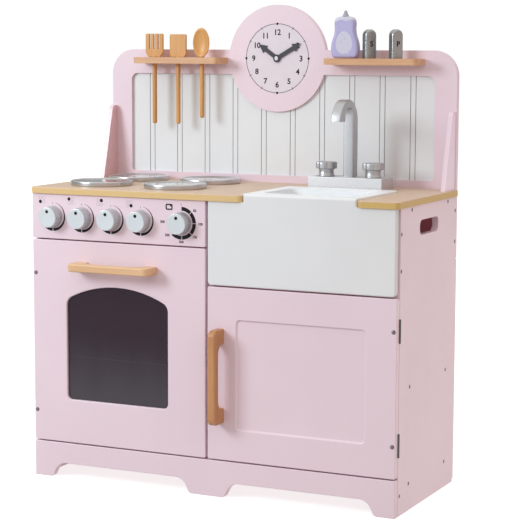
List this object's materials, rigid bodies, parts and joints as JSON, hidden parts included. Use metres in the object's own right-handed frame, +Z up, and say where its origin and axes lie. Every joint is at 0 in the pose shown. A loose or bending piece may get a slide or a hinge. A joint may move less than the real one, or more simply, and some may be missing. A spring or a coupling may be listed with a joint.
{
  "type": "toy kitchen",
  "caption": "Free-standing wooden toy kitchen with hinged oven and cupboard doors, turning knobs, hobs, sink with tap, clock splashback and shelves for utensils.",
  "frame": {"origin": "bottom centre of the overall box, on the floor", "axes": "+X towards the viewer's right when facing the front, -Y out of the front towards the user, +Z up"},
  "size_m": [0.7456, 0.35, 0.8999],
  "materials": {
    "pink_paint": "satin pink paint on fibreboard",
    "white_paint": "satin white paint",
    "worktop_board": "matt beige top with ochre edge",
    "beech": "clear-varnished wood",
    "inner_board": "pink-painted fibreboard",
    "silver_paint": "silver lacquer on turned wood",
    "steel": "zinc-plated",
    "dowel": "bare beech dowel",
    "tinted_pane": "tinted clear acrylic",
    "hand_board": "dark grey plastic",
    "magnet_case": "white plastic case with magnet",
    "lilac_paint": "satin lilac paint"
  },
  "bodies": {
    "cabinet": {"cabinet_floor": "inner_board", "carcass_hinge_leaves": "steel", "carcass_screws": "steel", "centre_divider": "inner_board", "clock_pivot": "steel", "control_fascia": "pink_paint", "cupboard_shelf": "inner_board", "front_rail": "inner_board", "hinge_pins": "steel", "hob_disc_front_left": "silver_paint", "hob_disc_front_right": "silver_paint", "hob_disc_rear_left": "silver_paint", "hob_disc_rear_right": "silver_paint", "knob_pins": "dowel", "left_shelf": "beech", "left_side_panel": "pink_paint", "left_wing": "pink_paint", "lower_back_panel": "inner_board", "magnet_catches": "magnet_case", "oven_shelf": "inner_board", "plinth": "pink_paint", "plinth_batten": "inner_board", "rear_rail": "inner_board", "right_shelf": "beech", "right_side_panel": "pink_paint", "right_wing": "pink_paint", "sink_apron": "white_paint", "sink_basin": "white_paint", "splashback_frame": "pink_paint", "splashback_panel": "white_paint", "sub_top": "inner_board", "tap_base": "silver_paint", "tap_spout": "silver_paint", "worktop": "worktop_board"},
    "oven_door": {"oven_door": "pink_paint", "oven_window": "tinted_pane", "oven_handle": "beech", "oven_hinge_leaves": "steel", "oven_hinge_bolts": "steel", "oven_strike_plate": "steel"},
    "cupboard_door": {"cupboard_door": "pink_paint", "cupboard_handle": "beech", "cupboard_hinge_leaves": "steel", "cupboard_hinge_bolts": "steel", "cupboard_strike_plate": "steel"},
    "hob_knob_1": {"hob_knob_1": "silver_paint"},
    "hob_knob_2": {"hob_knob_2": "silver_paint"},
    "hob_knob_3": {"hob_knob_3": "silver_paint"},
    "hob_knob_4": {"hob_knob_4": "silver_paint"},
    "oven_knob": {"oven_knob": "silver_paint"},
    "tap_knob_left": {"tap_knob_left": "silver_paint"},
    "tap_knob_right": {"tap_knob_right": "silver_paint"},
    "clock_hour_hand": {"clock_hour_hand": "hand_board"},
    "clock_minute_hand": {"clock_minute_hand": "hand_board"},
    "fork": {"fork": "beech"},
    "spatula": {"spatula": "beech"},
    "spoon": {"spoon": "beech"},
    "bottle": {"bottle": "lilac_paint"},
    "salt_shaker": {"salt_shaker": "silver_paint"},
    "pepper_shaker": {"pepper_shaker": "silver_paint"}
  },
  "joints": [
    {"name": "oven_door_hinge", "type": "hinge", "parent": "cabinet", "child": "oven_door", "pos_m": [-0.3706, -0.12425, 0.26], "axis": [0, 0, -1], "range_deg": [0, 115]},
    {"name": "cupboard_door_hinge", "type": "hinge", "parent": "cabinet", "child": "cupboard_door", "pos_m": [0.3706, -0.12425, 0.23], "axis": [0, 0, 1], "range_deg": [0, 115]},
    {"name": "hob_knob_1_turn", "type": "hinge", "parent": "cabinet", "child": "hob_knob_1", "pos_m": [-0.325, -0.137, 0.5007], "axis": [0, -1, 0], "continuous": true},
    {"name": "hob_knob_2_turn", "type": "hinge", "parent": "cabinet", "child": "hob_knob_2", "pos_m": [-0.2619, -0.137, 0.5007], "axis": [0, -1, 0], "continuous": true},
    {"name": "hob_knob_3_turn", "type": "hinge", "parent": "cabinet", "child": "hob_knob_3", "pos_m": [-0.1988, -0.137, 0.5007], "axis": [0, -1, 0], "continuous": true},
    {"name": "hob_knob_4_turn", "type": "hinge", "parent": "cabinet", "child": "hob_knob_4", "pos_m": [-0.1357, -0.137, 0.5007], "axis": [0, -1, 0], "continuous": true},
    {"name": "oven_knob_turn", "type": "hinge", "parent": "cabinet", "child": "oven_knob", "pos_m": [-0.051, -0.137, 0.5007], "axis": [0, -1, 0], "continuous": true},
    {"name": "tap_knob_left_turn", "type": "hinge", "parent": "cabinet", "child": "tap_knob_left", "pos_m": [0.13555, 0.094, 0.59], "axis": [0, 0, 1], "continuous": true},
    {"name": "tap_knob_right_turn", "type": "hinge", "parent": "cabinet", "child": "tap_knob_right", "pos_m": [0.22995, 0.094, 0.59], "axis": [0, 0, 1], "continuous": true},
    {"name": "clock_hour_hand_turn", "type": "hinge", "parent": "cabinet", "child": "clock_hour_hand", "pos_m": [0, 0.162, 0.797], "axis": [0, 1, 0], "continuous": true},
    {"name": "clock_minute_hand_turn", "type": "hinge", "parent": "cabinet", "child": "clock_minute_hand", "pos_m": [0, 0.162, 0.797], "axis": [0, 1, 0], "continuous": true},
    {"name": "fork_lift", "type": "slide", "parent": "cabinet", "child": "fork", "axis": [0, 0, 1], "range_m": [0, 0.15]},
    {"name": "spatula_lift", "type": "slide", "parent": "cabinet", "child": "spatula", "axis": [0, 0, 1], "range_m": [0, 0.15]},
    {"name": "spoon_lift", "type": "slide", "parent": "cabinet", "child": "spoon", "axis": [0, 0, 1], "range_m": [0, 0.14]},
    {"name": "bottle_lift", "type": "slide", "parent": "cabinet", "child": "bottle", "axis": [0, 0, 1], "range_m": [0, 0.1]},
    {"name": "salt_shaker_lift", "type": "slide", "parent": "cabinet", "child": "salt_shaker", "axis": [0, 0, 1], "range_m": [0, 0.1]},
    {"name": "pepper_shaker_lift", "type": "slide", "parent": "cabinet", "child": "pepper_shaker", "axis": [0, 0, 1], "range_m": [0, 0.1]}
  ]
}
